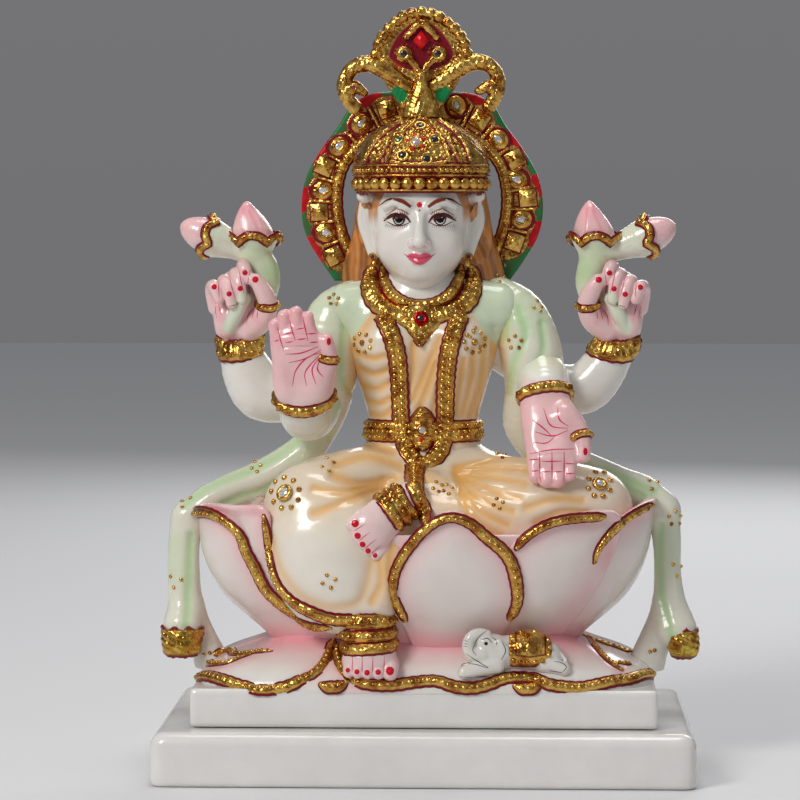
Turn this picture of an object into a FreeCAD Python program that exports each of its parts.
"""Seated four-armed deity statue on a lotus and a stepped plinth, 305 mm tall.

Millimetres. +Z is up, the figure faces -Y, and the origin is the middle of the plinth's underside.
"right" and "left" in a node's name are the figure's own: its right hand is on the -X side.
Each piece is one node: the carved marble masses, the modelled gold work laid on them, and the set stones.
"""
import FreeCAD, Part

import math
import os

from FreeCAD import Vector as V

# --- driving dimensions -------------------------------------------------------------------
TOTAL_HEIGHT = 305.0
PLINTH_WIDTH = 213.0
PLINTH_DEPTH = 130.0
PLINTH_HEIGHT = 21.3
PLINTH_EDGE_R = 9.0
PLINTH_CORNER_R = 6.0
STEP_WIDTH = 183.0
STEP_DEPTH = 102.0
STEP_TOP = 36.5
WAIST_Z = 53.0          # where the lotus bowl stands on the ground petals
BOWL_TOP = 92.0
RIM_TOP = 107.0         # no petal stands higher
PETAL_WALL = 2.2        # how far a petal stands out of the bowl
BODY_X = -1.5           # the figure sits this far off the plinth's middle
BODY_Y = 3.0
HEAD = V(BODY_X, 0.0, 217.0)
HALO_Y = (17.0, 25.0)
CROWN_BASE = 231.0
WRIST_Z = 174.0         # where the raised back hands meet their arms
FINGER_PITCH = 4.3
COLLAR_R = 19.5
RIM_X = 85.0            # where the shawl reaches the lotus rim

# --- helpers ------------------------------------------------------------------------------
SECTION_POINTS = 16
nodes = {}


def unit(v):
    """A copy of v with length 1."""
    w = V(v)
    w.normalize()
    return w


def section(centre, across, up, half_across, half_up, power=2.0):
    """A closed smooth superellipse around centre, in the plane of the two unit vectors."""
    points = []
    for i in range(SECTION_POINTS):
        a = 2 * math.pi * i / SECTION_POINTS
        c, s = math.cos(a), math.sin(a)
        u = math.copysign(abs(c) ** (2 / power), c) * half_across
        v = math.copysign(abs(s) ** (2 / power), s) * half_up
        points.append(centre + across * u + up * v)
    curve = Part.BSplineCurve()
    curve.interpolate(points, PeriodicFlag=True)
    return Part.Wire([curve.toShape()])


def stack(levels, centre=(BODY_X, BODY_Y)):
    """A solid of horizontal sections. Each level is z, half width, half depth and, optionally, power, dx, dy."""
    wires = []
    for level in levels:
        z, a, b = level[:3]
        power = level[3] if len(level) > 3 else 2.0
        dx, dy = level[4:6] if len(level) > 5 else (0.0, 0.0)
        wires.append(section(V(centre[0] + dx, centre[1] + dy, z), V(1, 0, 0), V(0, 1, 0), a, b, power))
    return Part.makeLoft(wires, True, False)


def limb(points, radii, flat=1.0, side=V(0, 1, 0), power=2.0):
    """A tapered limb along points, closed by short domes. flat squeezes it along side."""
    path = [V(*p) for p in points]
    steps = [b - a for a, b in zip(path, path[1:])]
    tangents = [steps[0]] + [unit(a) + unit(b) for a, b in zip(steps, steps[1:])] + [steps[-1]]
    wires = []
    last = len(path) - 1
    for i, (p, t, r) in enumerate(zip(path, tangents, radii)):
        t = unit(t)
        up = unit(side - t * side.dot(t))
        across = t.cross(up)
        if i == 0:
            for back, share in ((0.85, 0.45), (0.5, 0.83)):
                wires.append(section(p - t * r * back, across, up, r * share, r * share * flat, power))
        wires.append(section(p, across, up, r, r * flat, power))
        if i == last:
            for ahead, share in ((0.5, 0.83), (0.85, 0.45)):
                wires.append(section(p + t * r * ahead, across, up, r * share, r * share * flat, power))
    return Part.makeLoft(wires, True, False)


def ellipsoid(centre, half_x, half_y, half_z):
    """An ellipsoid as one spline-faced solid."""
    m = FreeCAD.Matrix()
    m.scale(half_x, half_y, half_z)
    ball = Part.makeSphere(1.0).transformGeometry(m)
    ball.translate(V(*centre))
    return ball


def band(centre, axis, outer, wall, height, flat=1.0):
    """A bangle: a round band of that wall around axis, squeezed along Y by flat when it lies level."""
    ring = Part.makeCylinder(outer, height, V(0, 0, -height / 2))
    ring = ring.cut(Part.makeCylinder(outer - wall, height + 2, V(0, 0, -height / 2 - 1)))
    ring = ring.makeFillet(wall * 0.3, ring.Edges[:2]) if wall > 1.5 else ring
    if flat != 1.0:
        m = FreeCAD.Matrix()
        m.scale(1.0, flat, 1.0)
        ring = ring.transformGeometry(m)
    ring.Placement = FreeCAD.Placement(V(*centre), FreeCAD.Rotation(V(0, 0, 1), V(*axis)))
    return ring


def slab(outline, y0, y1):
    """A flat solid between two Y planes with a smooth closed XZ outline."""
    curve = Part.BSplineCurve()
    curve.interpolate([V(x, y0, z) for x, z in outline], PeriodicFlag=True)
    return Part.Face(Part.Wire([curve.toShape()])).extrude(V(0, y1 - y0, 0))


def prism(outline, y0, y1):
    """A flat solid between two Y planes with a straight-sided XZ outline."""
    wire = Part.makePolygon([V(x, y0, z) for x, z in outline] + [V(outline[0][0], y0, outline[0][1])])
    return Part.Face(wire).extrude(V(0, y1 - y0, 0))


def tube(points, radius, flat=1.0, side=V(0, 1, 0)):
    """A cord of one radius along points."""
    return limb(points, [radius] * len(points), flat, side)


def beads(centres, radius):
    """A group of separate balls."""
    return Part.makeCompound([Part.makeSphere(radius, V(*c)) for c in centres])


def cleaned(shape, least=0.5):
    """The shape's solids over a least volume, without crumbs left by a cut."""
    solids = [s for s in shape.Solids if s.Volume > least]
    return solids[0] if len(solids) == 1 else Part.makeCompound(solids)


def add(name, shape, clear_of=(), least=0.5):
    """Keeps a node, cut clear of the nodes or plain shapes that it is laid on or let into."""
    for other in clear_of:
        host = nodes[other] if isinstance(other, str) else other
        if shape.BoundBox.intersect(host.BoundBox):
            shape = shape.cut(host)
    shape = cleaned(shape, least)
    if not shape.isValid() or shape.Volume <= 0:
        raise ValueError(name + " is not a valid solid")
    nodes[name] = shape
    return shape


# --- plinth, step and ground petals -------------------------------------------------------
def build_base():
    plinth = Part.makeBox(PLINTH_WIDTH, PLINTH_DEPTH, PLINTH_HEIGHT, V(-PLINTH_WIDTH / 2, -PLINTH_DEPTH / 2, 0))
    uprights = [e for e in plinth.Edges if abs(e.tangentAt(e.FirstParameter).z) > 0.9]
    plinth = plinth.makeFillet(PLINTH_CORNER_R, uprights)
    rim = [e for e in plinth.Edges if all(v.Point.z > PLINTH_HEIGHT - 0.01 for v in e.Vertexes)]
    add("plinth", plinth.makeFillet(PLINTH_EDGE_R - 3.2, rim))

    step_height = STEP_TOP - PLINTH_HEIGHT
    step = Part.makeBox(STEP_WIDTH, STEP_DEPTH, step_height, V(-STEP_WIDTH / 2, -STEP_DEPTH / 2, PLINTH_HEIGHT))
    uprights = [e for e in step.Edges if abs(e.tangentAt(e.FirstParameter).z) > 0.9]
    add("step_block", step.makeFillet(2.0, uprights))

    a, b = STEP_WIDTH / 2 - 0.6, STEP_DEPTH / 2 - 0.6
    ground = stack([(STEP_TOP, a, b, 9), (STEP_TOP + 4, a - 3, b - 2.5, 7), (STEP_TOP + 9, a - 12, b - 7, 4.5),
                    (STEP_TOP + 13.5, a - 24, b - 13, 3), (WAIST_Z, a - 32, b - 19, 2.4)], (0, 0))
    add("ground_petals", ground)


# --- lotus seat ---------------------------------------------------------------------------
BOWL_LEVELS = [(WAIST_Z, 58.0, 31.0), (60.0, 69.0, 37.5), (68.0, 78.0, 43.0), (78.0, 85.0, 47.0),
               (BOWL_TOP, 89.5, 50.0)]


def bowl_shell(grow, bottom=WAIST_Z, top=None):
    """The bowl's outer form grown by a distance. With a top, it goes on up to that height."""
    levels = [(z, a + grow, b + grow, 2.35) for z, a, b in BOWL_LEVELS]
    if top is not None:
        levels.append((top, 91.5 + grow, 51.5 + grow, 2.35))
    levels[0] = (bottom,) + levels[0][1:]
    return stack(levels, (0.0, 1.0))


def seat_plug(top=BOWL_TOP):
    """The bowl with its petals, as one plain form, for cutting what leans on it."""
    return bowl_shell(PETAL_WALL + 0.05, top=top) if top > BOWL_TOP else bowl_shell(PETAL_WALL + 0.05)


def rim_hollow(grow=0.0):
    """The space inside the standing part of the petals."""
    return stack([(BOWL_TOP, 87.5 + grow, 48.0 + grow, 2.35), (RIM_TOP + 2, 89.5 + grow, 49.5 + grow, 2.35)],
                 (0.0, 1.0))


def rim_ring():
    """The ring that the standing petals fill, for cutting what crosses the rim."""
    return seat_plug(RIM_TOP).cut(rim_hollow(-0.05)).common(Part.makeBox(300, 300, 60, V(-150, -150, BOWL_TOP)))


def arch(x_low, x_high, foot, spring, top, lean=0.0):
    """A petal's outline: two sides and a pointed round head."""
    middle = (x_low + x_high) / 2 + lean
    half = (x_high - x_low) / 2
    rise = top - spring
    left = [(middle - half * math.cos(t) - lean * math.cos(t), spring + rise * math.sin(t) ** 0.9)
            for t in (0.0, 0.45, 0.85, 1.2)]
    right = [(middle + half * math.cos(t) - lean * math.cos(t), spring + rise * math.sin(t) ** 0.9)
             for t in (1.2, 0.85, 0.45, 0.0)]
    return [(x_low, foot)] + left + [(middle, top)] + right + [(x_high, foot)]


def build_lotus():
    bowl = bowl_shell(0.0)
    add("lotus_bowl", bowl)
    shell = bowl_shell(PETAL_WALL, top=RIM_TOP + 1).cut(bowl).cut(rim_hollow())
    front, back = (-60.0, 0.0), (0.0, 62.0)
    petals = [
        ("lotus_petal_front", arch(-11.5, 38.5, 50.0, 78.0, 103.5), front),
        ("lotus_petal_front_left", arch(30.0, 74.0, 50.0, 84.0, 104.5, 6.0), front),
        ("lotus_petal_front_right", arch(-60.0, -4.0, 50.0, 70.0, 91.5), front),
        ("lotus_petal_side_left", arch(62.0, 120.0, 50.0, 80.0, 106.5, 3.0), (-60.0, 20.0)),
        ("lotus_petal_side_right", arch(-120.0, -46.0, 50.0, 76.0, 103.0), (-60.0, 20.0)),
        ("lotus_petal_back_middle", arch(-27.0, 27.0, 50.0, 80.0, 102.0), back),
        ("lotus_petal_back_left", arch(20.0, 76.0, 50.0, 82.0, 103.0), back),
        ("lotus_petal_back_right", arch(-76.0, -20.0, 50.0, 82.0, 103.0), back),
    ]
    laid = []
    for name, outline, (y0, y1) in petals:
        petal = shell.common(prism(outline, y0, y1))
        add(name, petal, laid)
        laid.append(name)


# --- legs, feet and body ------------------------------------------------------------------
def build_body():
    seat = [seat_plug()]
    hips = stack([(BOWL_TOP, 74.0, 40.0, 2.4), (98.0, 66.0, 38.0), (110.0, 46.0, 31.0), (121.0, 31.0, 22.0),
                  (131.0, 24.0, 16.5)])
    add("hips", hips)

    hanging = limb([(-16, -2, 110), (-34, -14, 108), (-41, -26, 97), (-36, -31, 84), (-31, -34, 73), (-25, -37, 64)],
                   [15, 20, 23, 24, 21, 13])
    add("hanging_leg", hanging, seat + ["hips"])
    knee = limb([(18, -4, 109), (40, -6, 106), (60, -9, 103), (66, -10, 102)], [14, 17.5, 18, 15])
    add("folded_leg", knee, seat + ["hips", "hanging_leg"])
    shin = limb([(56, -20, 100), (34, -27, 98), (14, -30, 99.5), (-2, -31, 104)], [15, 14.5, 12.5, 9.5])
    add("folded_shin", shin, seat + ["hips", "hanging_leg", "folded_leg"])

    torso = stack([(128.0, 23.5, 15.0), (138.0, 22.5, 14.5), (148.0, 25.0, 16.0), (160.0, 29.0, 18.5),
                   (172.0, 31.0, 18.5), (182.0, 30.0, 15.5), (190.0, 20.0, 12.0), (195.0, 12.5, 10.5)])
    add("torso", torso, ["hips"])
    neck = limb([(BODY_X, 4, 190), (BODY_X, 3, 197), (BODY_X, 2, 205)], [12.5, 11.0, 11.5])
    add("neck", neck, ["torso"])
    skull = ellipsoid(HEAD, 20.5, 21.0, 23.0)
    for side in (-1, 1):
        skull = skull.fuse(limb([(BODY_X + side * 20.5, 3, 224), (BODY_X + side * 21.5, 3, 214),
                                 (BODY_X + side * 19.5, 2, 206)], [3.2, 3.6, 2.6], 0.8))
    add("head", skull, ["neck"])
    hair = stack([(190.0, 33.0, 7.0, 2.4, 0, 9), (200.0, 31.5, 7.5, 2.4, 0, 9), (212.0, 28.0, 8.5, 2.4, 0, 9),
                  (225.0, 25.5, 11.5, 2.2, 0, 6), (236.0, 23.0, 14.0, 2.0, 0, 3)])
    add("hair", hair, ["head", "neck", "torso"])


def build_feet():
    foot = limb([(-23, -37, 58), (-22.5, -40, 52), (-21.5, -46, 46.5), (-21.5, -52, 44.5)],
                [8.5, 9.5, 10.5, 10.0], 0.62, V(0, 0.45, 1), 2.6)
    add("hanging_foot", foot, ["hanging_leg", "ground_petals", seat_plug()])
    foot = limb([(-9, -36, 107), (-15, -38, 103), (-22, -42, 97.5)], [7.0, 8.5, 9.0], 0.55, V(0, 1, 0), 2.6)
    add("folded_foot", foot, ["folded_leg", "folded_shin", "hanging_leg", "hips"])


# --- arms and hands -----------------------------------------------------------------------
def hand(wrist, along, across, length, width, thick):
    """An open hand: palm, four fingers side by side, and a thumb on the across side."""
    along, across = unit(V(*along)), unit(V(*across))
    normal = along.cross(across)
    wrist = V(*wrist)
    palm_end = wrist + along * length * 0.52
    palm = limb([tuple(wrist), tuple((wrist + palm_end) / 2), tuple(palm_end)],
                [width * 0.38, width * 0.47, width * 0.47], thick / width, normal, 2.6)
    pitch = width / 4
    reach = (0.80, 0.95, 1.0, 0.93)
    for i, share in enumerate(reach):
        base = palm_end + across * pitch * (i - 1.5)
        tip = wrist + along * length * share + across * pitch * (i - 1.5) * 0.9
        palm = palm.fuse(limb([tuple(base), tuple((base + tip) / 2), tuple(tip)],
                              [pitch * 0.54, pitch * 0.52, pitch * 0.44]))
    root = wrist + along * length * 0.22 + across * width * 0.34
    knuckle = wrist + along * length * 0.40 + across * width * 0.66
    tip = wrist + along * length * 0.60 + across * width * 0.70
    return palm.fuse(limb([tuple(root), tuple(knuckle), tuple(tip)], [pitch * 0.6, pitch * 0.62, pitch * 0.5]))


def fist(side):
    """A hand closed round a lotus stem, with curled fingers facing the front. side is -1 for the right hand."""
    x = 76.0 * side
    palm = limb([(x, 10, 170), (x + side * 1.5, 10, 180), (x + side * 1.0, 9, 188)], [8.5, 11.0, 10.5], 0.62)
    pieces = [palm.common(Part.makeBox(60, 60, 60, V(x - 30, -20, WRIST_Z)))]
    for i in range(4):
        along = x + side * (8.4 - i * FINGER_PITCH)
        finger = limb([(along, 4.5, 192.0), (along, -0.6, 190.5), (along - side, -0.8, 185.5)], [2.0, 2.0, 1.8])
        pieces.append(finger.cut(palm))
    thumb = limb([(x - side * 8, 3.4, 176), (x - side * 10, 0, 181), (x - side * 9, -1, 184.5)], [3.2, 3.0, 2.4])
    pieces.append(thumb.cut(palm).cut(pieces[4]))
    return Part.makeCompound([q for p in pieces for q in p.Solids])


def build_arms():
    body = ["torso", "hips", "hanging_leg", "folded_leg", "folded_shin"]
    right = limb([(-31, 4, 184), (-38, 3, 168), (-43, 1, 150), (-45, -3, 139), (-47.5, -12, 142), (-48.8, -19, 148)],
                 [9.5, 9.5, 9.0, 9.0, 8.8, 8.5])
    add("front_right_arm", right, body)
    left = limb([(28, 4, 184), (38, 4, 172), (45, 2, 160), (47, -5, 152), (47.2, -13, 150)],
                [9.5, 9.5, 9.2, 9.0, 8.8])
    add("front_left_arm", left, body)
    for side, name in ((-1, "back_right_arm"), (1, "back_left_arm")):
        arm = limb([(side * 30, 13, 170), (side * 47, 14, 156), (side * 63, 13, 146.5), (side * 71, 12, 150),
                    (side * 75.5, 11, 160), (side * 76.5, 10, 169)], [8.5, 9.0, 10.0, 10.5, 10.5, 9.5])
        arm = arm.cut(Part.makeBox(60, 60, 60, V(side * 76 - 30, -20, WRIST_Z)))
        add(name, arm, ["torso", "front_right_arm", "front_left_arm"])
        add(name.replace("arm", "hand"), fist(side))

    raised = hand((-48.6, -20, 149), (0.02, -0.10, 1), (1, 0.1, 0), 37.0, 24.0, 9.5)
    add("front_right_hand", raised, ["front_right_arm"])
    lowered = hand((47.5, -16, 149), (0.08, -0.38, -1), (1, 0, 0.1), 38.0, 24.0, 9.5)
    add("front_left_hand", lowered, ["front_left_arm", "folded_leg"])


# --- shawl --------------------------------------------------------------------------------
def ridge(stations):
    """A standing wall of cloth. Each station is x, middle y, lowest z, highest z and half thickness."""
    wires = [section(V(x, y, (low + high) / 2), V(0, 1, 0), V(0, 0, 1), half, (high - low) / 2, 3.0)
             for x, y, low, high, half in stations]
    return Part.makeLoft(wires, True, False)


def build_shawl():
    skin = ["torso", "hair", "neck", "hips", "hanging_leg", "folded_leg", "front_right_arm", "front_left_arm",
            "back_right_arm", "back_left_arm"]
    for side, name in ((-1, "right"), (1, "left")):
        x = BODY_X if side < 0 else BODY_X + 2
        over = limb([(x + side * 20, 9, 190), (x + side * 34, 8, 183), (x + side * 44, 6, 170),
                     (x + side * 45, 6, 155), (x + side * 38, 9, 140), (x + side * 34, 10, 130)],
                    [8.0, 12.0, 13.0, 12.5, 9.5, 9.0], 0.95)
        add("shawl_over_arm_" + name, over, skin)
        sweep = ridge([(x + side * 30, 14, 97, 131, 8), (x + side * 46, 12, BOWL_TOP, 125, 9),
                       (x + side * 64, 9, BOWL_TOP, 118, 9.5), (side * RIM_X, 5, BOWL_TOP, 113, 9.5)])
        add("shawl_sweep_" + name, sweep, ["shawl_over_arm_" + name] + skin, 40.0)
        hook = limb([(side * (RIM_X - 6), 4, 114), (side * 93, 3, 113), (side * 99, 2, 105), (side * 99, 2, 96)],
                    [5.0, 5.0, 5.2, 5.6], 1.4)
        inner_side = Part.makeBox(40, 60, 60, V(side * RIM_X - 20 - side * 20, -30, 80))
        add("shawl_hook_" + name, hook.cut(inner_side))
        fall = limb([(side * 97.5, 2, 88.5), (side * 98, 2, 78), (side * 97, 1, 66), (side * 95, 0, 56)],
                    [7.0, 6.8, 7.0, 8.5], 1.25)
        add("shawl_fall_" + name, fall, [seat_plug(), "shawl_hook_" + name])
        foot = limb([(side * 90, 2, 53), (side * 86, 3, 47), (side * 83, 4, 39)], [6.0, 6.5, 6.5], 1.2)
        add("shawl_foot_" + name, foot, [seat_plug(), "ground_petals", "step_block", "shawl_fall_" + name])
        tip = limb([(side * 97.0, -6, 52.5), (side * 97.5, -8, 49.0)], [7.6, 6.6], 0.8)
        add("shawl_tip_" + name, tip, [seat_plug(), "shawl_fall_" + name, "shawl_foot_" + name])


# --- lotus buds in the back hands ---------------------------------------------------------
def build_buds():
    for side, name in ((-1, "right"), (1, "left")):
        hand_name = "back_" + name + "_hand"
        stem = limb([(side * 66, 8, 192), (side * 64, 8, 200), (side * 70, 8, 207), (side * 80, 8, 209.5)],
                    [6.0, 7.0, 6.0, 5.0])
        add("lotus_stem_" + name, stem, [hand_name])
        upright = stack([(208.0, 6.0, 6.0), (213.0, 8.5, 7.5), (219.0, 7.0, 6.5), (224.0, 3.8, 3.8),
                         (226.0, 1.2, 1.2)], (side * 71.5, 8))
        add("lotus_bud_upright_" + name, upright, ["lotus_stem_" + name, hand_name])
        lying = limb([(side * 83, 8, 211), (side * 89, 8, 213.5), (side * 96, 8, 216.5)], [6.5, 7.6, 4.6])
        add("lotus_bud_side_" + name, lying, ["lotus_stem_" + name, "lotus_bud_upright_" + name])


# --- halo, crown and crest ----------------------------------------------------------------
def build_head_dress():
    x = BODY_X - 0.5
    half = [(34.5, 193.5), (43, 200), (48.5, 212), (49.5, 227), (46, 242), (37, 254), (25, 262)]
    outer = [(x - u, z) for u, z in half] + [(x, 267)] + [(x + u, z) for u, z in reversed(half)]
    ring = slab(outer, *HALO_Y)
    half = [(24, 190), (28, 206), (30.5, 218), (30.5, 230), (28, 240), (19, 250)]
    hole = [(x - u, z) for u, z in half] + [(x, 254)] + [(x + u, z) for u, z in reversed(half)]
    ring = ring.cut(slab(hole, HALO_Y[0] - 1, HALO_Y[1] + 1))
    ring = ring.cut(Part.makeBox(46, 60, 30, V(x - 23, -10, 175)))
    add("halo", ring, ["hair", "torso", "shawl_over_arm_right", "shawl_over_arm_left"])

    rim = [(CROWN_BASE, 26.5, 22.5), (CROWN_BASE + 8.5, 28.0, 23.5)]
    hollow = [(CROWN_BASE - 1, 20.5, 20.0), (CROWN_BASE + 9.5, 19.0, 19.0)]
    add("crown_band", stack(rim, (x, 2)).cut(stack(hollow, (x, 2))), ["head", "hair", "halo"])
    dome = stack([(CROWN_BASE + 8.5, 27.5, 23.0), (CROWN_BASE + 14, 27.5, 23.0), (CROWN_BASE + 21, 24.0, 20.0),
                  (CROWN_BASE + 27, 17.0, 15.0), (CROWN_BASE + 31, 8.0, 8.0)], (x, 2))
    add("crown_dome", dome, ["head", "hair", "halo", "crown_band"])

    half = [(8, 264), (17, 273), (20, 284), (15, 292), (9, 300)]
    mound = slab([(x - u, z) for u, z in half] + [(x, TOTAL_HEIGHT - 0.4)] + [(x + u, z) for u, z in reversed(half)],
                 3.0, 12.0)
    add("crest", mound, ["crown_dome", "halo"])
    boss = ellipsoid((x, 0, 269), 7.0, 5.0, 8.0)
    add("crest_boss", boss, ["crown_dome", "crest", "halo"])
    for side, name in ((-1, "right"), (1, "left")):
        horn = limb([(x + side * 17, 7, 277), (x + side * 24, 7, 282), (x + side * 31, 7, 279),
                     (x + side * 32.5, 7, 271), (x + side * 28, 8, 265)], [4.6, 4.4, 4.2, 4.2, 4.6])
        add("crest_volute_" + name, horn, ["crown_dome", "crest", "halo", "crest_boss"])


# --- gold ornaments -----------------------------------------------------------------------
def build_ornaments():
    skin = ["torso", "neck", "head", "hair", "hips", "folded_leg", "folded_shin", "hanging_leg"]
    collar = Part.makeTorus(COLLAR_R, 4.0, V(BODY_X, -1, 186), V(0, -0.5, 0.87))
    add("collar_necklace", collar, skin + ["shawl_over_arm_right", "shawl_over_arm_left"], 20.0)
    drop = tube([(-20, -12, 178), (-16, -18.5, 165), (-14, -18.5, 150), (-13, -17.5, 136), (-10.5, -20, 124),
                 (BODY_X, -22.5, 118.5), (8.5, -20, 124), (10.5, -17.5, 136), (11.5, -18.5, 150),
                 (13.5, -18.5, 165), (17.5, -12, 178)], 3.2, 0.55)
    belt = stack([(128.5, 25.5, 18.0), (134.0, 25.2, 17.0), (140.5, 24.5, 16.5)])
    belt = belt.cut(stack([(127.5, 20.0, 12.0), (141.5, 20.0, 12.0)]))
    add("waist_belt", belt, skin)
    add("long_necklace", drop, skin + ["collar_necklace", "waist_belt"])
    pendant = ellipsoid((BODY_X + 0.3, -16.5, 136.5), 6.3, 4.2, 11.0)
    add("pendant", pendant, skin + ["waist_belt", "long_necklace"])
    sash = limb([(-1.5, -22, 117), (-0.5, -30, 110), (1.3, -40.5, 101)], [3.0, 3.8, 2.6], 0.6)
    add("front_sash", sash, skin + ["long_necklace", "folded_foot", rim_ring()], 20.0)

    add("bangle_back_right", band((-76.6, 10.3, 168.3), (-0.05, -0.05, 1), 11.2, 2.4, 7.5),
        ["back_right_arm", "back_right_hand"])
    add("bangle_back_left", band((76.6, 10.3, 168.3), (0.05, -0.05, 1), 11.2, 2.4, 7.5),
        ["back_left_arm", "back_left_hand"])
    add("bangle_front_right", band((-48.7, -19.0, 148.6), (-0.02, -0.45, 1), 11.4, 2.6, 5.5),
        ["front_right_arm", "front_right_hand"])
    add("bangle_front_left", band((47.3, -14.5, 150.3), (0.05, -0.8, -0.75), 11.2, 2.4, 5.5),
        ["front_left_arm", "front_left_hand", "shawl_over_arm_left"])
    rings = [band((-37.5, -22.5, 163.5), (0.1, 0, 1), 5.2, 1.4, 3.6), band((63.0, -19.5, 135.5), (0.3, -0.3, -1), 5.2, 1.4, 3.6),
             band((-67.8, 3.2, 182.5), (0, -0.5, 1), 5.2, 1.4, 3.4), band((67.8, 3.2, 182.5), (0, -0.5, 1), 5.2, 1.4, 3.4)]
    add("thumb_rings", Part.makeCompound(rings), ["front_right_hand", "front_left_hand", "back_right_hand",
                                                  "back_left_hand", "lotus_stem_right", "lotus_stem_left"], 8.0)
    anklet = stack([(53.0, 11.0, 9.5), (56.5, 12.2, 10.5), (60.0, 11.6, 10.0), (63.5, 13.0, 11.0), (65.0, 12.0, 10.0)],
                   (-22.8, -38.5))
    add("anklet_hanging_foot", anklet, ["hanging_foot", "hanging_leg", seat_plug(), "ground_petals"])
    cuff = limb([(-13.5, -37.5, 104.5), (-8.5, -36.5, 107.5), (-4, -35.5, 110)], [8.6, 8.4, 7.8], 0.8)
    add("anklet_folded_foot", cuff, ["folded_foot", "folded_leg", "folded_shin", "hips", "front_sash", "hanging_leg"])
    rings = [Part.makeSphere(1.9, V(BODY_X + s * 21.0, -1.5, 204.5)) for s in (-1, 1)]
    add("ear_studs", Part.makeCompound(rings), ["head", "hair"])


def build_trims():
    """Raised gold borders: along the ground petals' front edge, the bowl petals' rims and the garment's hem."""
    y = -STEP_DEPTH / 2 + 0.3
    edge = tube([(-90, y + 1.5, 38.5), (-70, y, 38.5), (-52, y, 38.0), (-42, y + 2, 43.0), (-37, y + 6, 49.0)], 2.4, 0.8)
    middle = tube([(-36, y + 5.5, 46.5), (-31, y + 0.5, 39.5), (-15, y - 0.4, 36.8), (5, y - 0.4, 37.6),
                   (20, y - 0.4, 36.6), (38, y, 40.0)], 2.4, 0.8)
    far = tube([(42, y, 40.0), (58, y - 0.3, 37.4), (75, y, 38.6), (90, y + 1.5, 38.8)], 2.4, 0.8)
    knots = [ellipsoid((-38, y - 1, 35.6), 5.5, 2.4, 2.6), ellipsoid((41, y - 1, 35.8), 5.0, 2.4, 2.6)]
    group = edge.fuse([middle, far] + knots)
    add("ground_trim", group, ["step_block", "ground_petals", "hanging_foot", "anklet_hanging_foot"])

    grown = bowl_shell(PETAL_WALL + 1.6, top=RIM_TOP).cut(seat_plug(RIM_TOP + 1))
    trims = []
    for outline, inset in ((arch(-11.5, 38.5, 60.0, 78.0, 104.2), 4.0),
                           (arch(30.0, 74.0, 84.0, 86.0, 105.0, 6.0), 4.0)):
        x_mid = sum(p[0] for p in outline) / len(outline)
        inner = [(x_mid + (px - x_mid) * 0.86, pz - inset) for px, pz in outline]
        trims.append(grown.common(prism(outline, -60.0, 0.0)).cut(prism(inner, -61.0, 1.0)))
    add("petal_trim_front", trims[0], ["lotus_petal_front"])
    hem = tube([(-64, -42.5, 101), (-62, -42.5, 90), (-55, -43, 76), (-45, -43.5, 66.5), (-36, -46, 61.5)], 2.2, 0.9)
    add("garment_hem_trim", hem, ["hanging_leg", seat_plug(), "anklet_hanging_foot"])


# --- stones -------------------------------------------------------------------------------
def stone(centre, radius, y_thick=1.8):
    """A round stone set facing the front."""
    return Part.makeCylinder(radius, y_thick, V(centre[0], centre[1] - y_thick, centre[2]), V(0, 1, 0))


def build_stones():
    x = BODY_X - 0.5
    halo = []
    for angle in (-24, 0, 24, 52, 128, 156, 180, 204):
        r = 39.5
        c = (x + r * math.cos(math.radians(angle)), HALO_Y[0], 225 + r * 0.86 * math.sin(math.radians(angle)))
        halo.append(stone(c, 2.6))
    add("halo_stones", Part.makeCompound(halo), ["halo", "crown_dome", "crown_band", "hair"])
    crown = [stone((x + dx, -18.0, CROWN_BASE + dz), 2.2, 4.5) for dx, dz in
             ((0, 14.5), (-7, 16.0), (7, 16.0), (0, 20.5), (-4.5, 10.5), (4.5, 10.5))]
    add("crown_stones", Part.makeCompound(crown), ["crown_dome", "crown_band"])
    crest = [stone((x + dx, 3.0, z), 2.4) for dx, z in ((-7, 286), (7, 286))]
    crest += [stone((x + s * 31.5, 3.5, 270), 2.0) for s in (-1, 1)]
    add("crest_stones", Part.makeCompound(crest), ["crest", "crest_volute_right", "crest_volute_left"])
    add("pendant_stone", stone((BODY_X + 0.3, -20.0, 134.0), 2.3, 2.2), ["pendant"])
    add("collar_stone", stone((BODY_X + 0.3, -18.5, 179.0), 2.6, 3.0), ["collar_necklace", "torso"])
    knees = [stone((-55.5, -37.0, 112.0), 3.4, 6.0), stone((68.5, -24.0, 112.5), 3.4, 6.0)]
    add("knee_stones", Part.makeCompound(knees), ["hanging_leg", "folded_leg", "folded_shin", "hips"])


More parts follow.
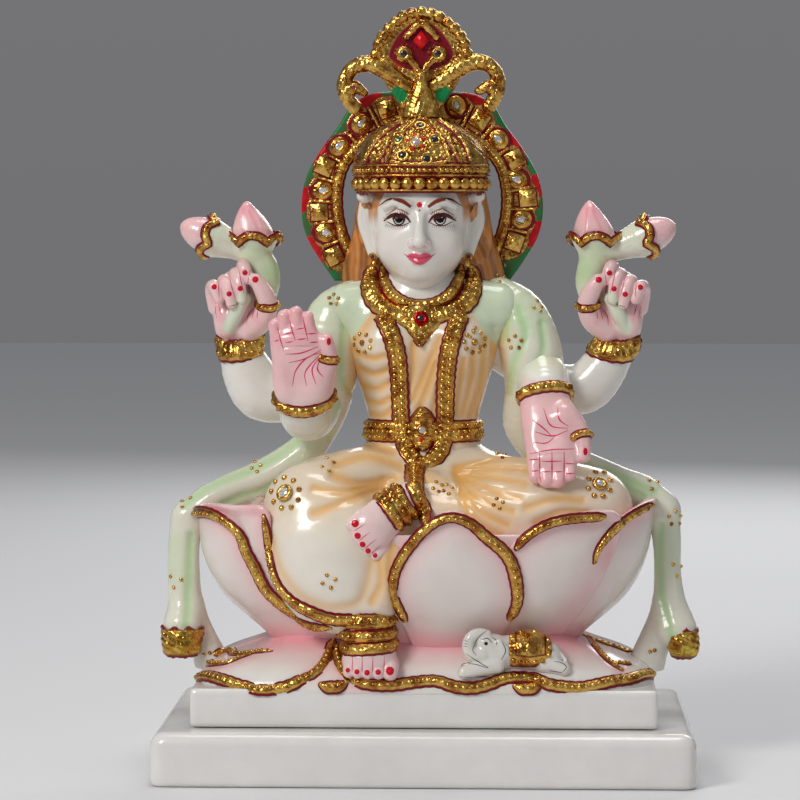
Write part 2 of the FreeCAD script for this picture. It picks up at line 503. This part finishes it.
# --- elephant -----------------------------------------------------------------------------
def build_elephant():
    body = limb([(31, -42, 50), (38, -42, 51), (48, -41.5, 48.5)], [6.5, 7.5, 7.0])
    head = ellipsoid((26.5, -44.5, 51.5), 7.0, 5.5, 6.5)
    trunk = limb([(21, -47, 49), (17.5, -47.5, 53), (19, -47, 57.5), (23, -46.5, 59)], [3.0, 2.6, 2.2, 1.8])
    foreleg = limb([(27, -47, 45.5), (21, -48.5, 44.5), (16, -49, 43.6)], [3.4, 2.8, 2.4])
    hind = limb([(47, -44, 46), (52, -45, 45), (55, -45, 44)], [4.2, 3.0, 2.4])
    add("elephant", body.fuse([head, trunk, foreleg, hind]), ["ground_petals", seat_plug(), "ground_trim"])
    cloth = limb([(34.5, -42, 51), (40, -42, 51.4), (45.5, -42, 50)], [8.2, 8.8, 7.8])
    add("elephant_saddle_cloth", cloth, ["elephant", "ground_petals", seat_plug(), "ground_trim"])


GROUPS = {
    "head": ("head", "neck"),
    "folded_leg": ("folded_leg", "folded_shin"),
    "lotus_petals_back": ("lotus_petal_back_middle", "lotus_petal_back_left", "lotus_petal_back_right"),
    "shawl_fall_right": ("shawl_hook_right", "shawl_fall_right", "shawl_foot_right"),
    "shawl_fall_left": ("shawl_hook_left", "shawl_fall_left", "shawl_foot_left"),
    "shawl_end_caps": ("shawl_tip_right", "shawl_tip_left"),
    "lotus_buds_right": ("lotus_bud_upright_right", "lotus_bud_side_right"),
    "lotus_buds_left": ("lotus_bud_upright_left", "lotus_bud_side_left"),
    "crest": ("crest", "crest_boss"),
    "crest_volutes": ("crest_volute_right", "crest_volute_left"),
    "bangles_back": ("bangle_back_right", "bangle_back_left"),
    "bangles_front": ("bangle_front_right", "bangle_front_left"),
    "anklets": ("anklet_hanging_foot", "anklet_folded_foot"),
    "set_stones": ("halo_stones", "crown_stones", "crest_stones", "pendant_stone", "collar_stone", "knee_stones"),
}


def gather():
    """Joins alike pieces into one node each, as a group of separate solids."""
    for name, members in GROUPS.items():
        solids = [solid for member in members for solid in nodes.pop(member).Solids]
        nodes[name] = Part.makeCompound(solids)


def main():
    build_base()
    build_lotus()
    build_body()
    build_feet()
    build_arms()
    build_shawl()
    build_buds()
    build_head_dress()
    build_ornaments()
    build_trims()
    build_stones()
    build_elephant()
    gather()
    os.makedirs("parts", exist_ok=True)
    for name, shape in nodes.items():
        shape.exportStep("parts/" + name + ".step")
    print(len(nodes), "nodes")


main()
